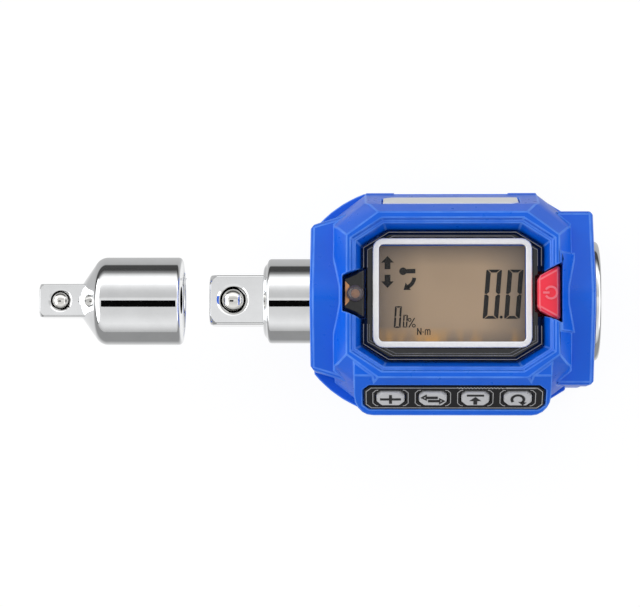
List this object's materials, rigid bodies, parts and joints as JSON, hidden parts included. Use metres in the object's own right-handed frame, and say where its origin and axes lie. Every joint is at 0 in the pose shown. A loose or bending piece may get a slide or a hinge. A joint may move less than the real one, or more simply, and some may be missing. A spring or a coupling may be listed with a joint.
{
  "type": "torque adapter",
  "caption": "Digital torque adapter with a 3/8 inch drive, blue housing, display, keys and a separate chrome reducer to 1/4 inch.",
  "frame": {"origin": "centre of the housing's flat back face, below the middle of the spindle", "axes": "+X along the spindle towards the female end, +Y towards the nameplate's side, +Z out of the display"},
  "size_m": [0.108, 0.0433, 0.0435],
  "materials": {
    "blue_plastic": "moulded satin",
    "gloss_black_plastic": "gloss",
    "silver_frame": "satin",
    "clear_plastic": "clear",
    "liquid_crystal": "backlit",
    "white_light_guide": "milky",
    "red_plastic": "satin",
    "dark_keypad": "matt",
    "grey_key": "satin",
    "switch_body": "matt",
    "circuit_board": "matt",
    "gauge_film": "satin",
    "satin_nameplate": "satin",
    "chrome": "mirror",
    "bright_ball": "polished",
    "spring_steel": "bright",
    "black_rubber": "matt",
    "plain_cell": "satin"
  },
  "bodies": {
    "adapter": {"front_shell": "blue_plastic", "rear_shell": "blue_plastic", "display_bezel": "gloss_black_plastic", "lamp_holder": "gloss_black_plastic", "buzzer": "gloss_black_plastic", "display_frame": "silver_frame", "display_lens": "clear_plastic", "signal_lamp": "clear_plastic", "lcd_panel": "liquid_crystal", "light_guide": "white_light_guide", "keypad_overlay": "dark_keypad", "key_switch_1": "switch_body", "key_switch_2": "switch_body", "key_switch_3": "switch_body", "key_switch_4": "switch_body", "power_switch": "switch_body", "keypad_board": "circuit_board", "main_board": "circuit_board", "nameplate": "satin_nameplate", "strain_gauge_upper": "gauge_film", "strain_gauge_lower": "gauge_film", "spindle": "chrome", "drive_ball_spring": "spring_steel", "seal_male_end": "black_rubber", "seal_female_end": "black_rubber", "cell_1": "plain_cell", "cell_2": "plain_cell", "contact_bridge": "spring_steel", "contact_plus": "spring_steel", "contact_minus": "spring_steel", "case_screw_1": "spring_steel", "case_screw_2": "spring_steel", "case_screw_3": "spring_steel", "case_screw_4": "spring_steel"},
    "power_button": {"power_button": "red_plastic"},
    "key_plus": {"key_plus": "grey_key"},
    "key_mode": {"key_mode": "grey_key"},
    "key_peak": {"key_peak": "grey_key"},
    "key_unit": {"key_unit": "grey_key"},
    "drive_ball": {"drive_ball": "bright_ball"},
    "reducer": {"reducer_body": "chrome", "reducer_ball_spring": "spring_steel"},
    "reducer_ball": {"reducer_ball": "bright_ball"},
    "battery_cover": {"battery_cover": "blue_plastic", "battery_cover_screw": "spring_steel"}
  },
  "joints": [
    {"name": "power_button_press", "type": "slide", "parent": "adapter", "child": "power_button", "axis": [0, 0, -1], "range_m": [0, 0.0005], "stiffness_N_per_m": 500, "springref_m": -0.0004},
    {"name": "key_plus_press", "type": "slide", "parent": "adapter", "child": "key_plus", "axis": [0, 0.7314, -0.682], "range_m": [0, 0.0004], "stiffness_N_per_m": 400, "springref_m": -0.0004},
    {"name": "key_mode_press", "type": "slide", "parent": "adapter", "child": "key_mode", "axis": [0, 0.7314, -0.682], "range_m": [0, 0.0004], "stiffness_N_per_m": 400, "springref_m": -0.0004},
    {"name": "key_peak_press", "type": "slide", "parent": "adapter", "child": "key_peak", "axis": [0, 0.7314, -0.682], "range_m": [0, 0.0004], "stiffness_N_per_m": 400, "springref_m": -0.0004},
    {"name": "key_unit_press", "type": "slide", "parent": "adapter", "child": "key_unit", "axis": [0, 0.7314, -0.682], "range_m": [0, 0.0004], "stiffness_N_per_m": 400, "springref_m": -0.0004},
    {"name": "drive_ball_press", "type": "slide", "parent": "adapter", "child": "drive_ball", "axis": [0, 0, -1], "range_m": [0, 0.001], "stiffness_N_per_m": 800, "springref_m": -0.0004, "deforming": ["drive_ball_spring"]},
    {"name": "reducer_slide", "type": "slide", "parent": "adapter", "child": "reducer", "axis": [1, 0, 0], "range_m": [0, 0.0155]},
    {"name": "reducer_ball_press", "type": "slide", "parent": "reducer", "child": "reducer_ball", "axis": [0, 0, -1], "range_m": [0, 0.0007], "stiffness_N_per_m": 600, "springref_m": -0.0004, "deforming": ["reducer_ball_spring"]},
    {"name": "battery_cover_lift", "type": "slide", "parent": "adapter", "child": "battery_cover", "axis": [0, 0, -1], "range_m": [0, 0.012]}
  ]
}
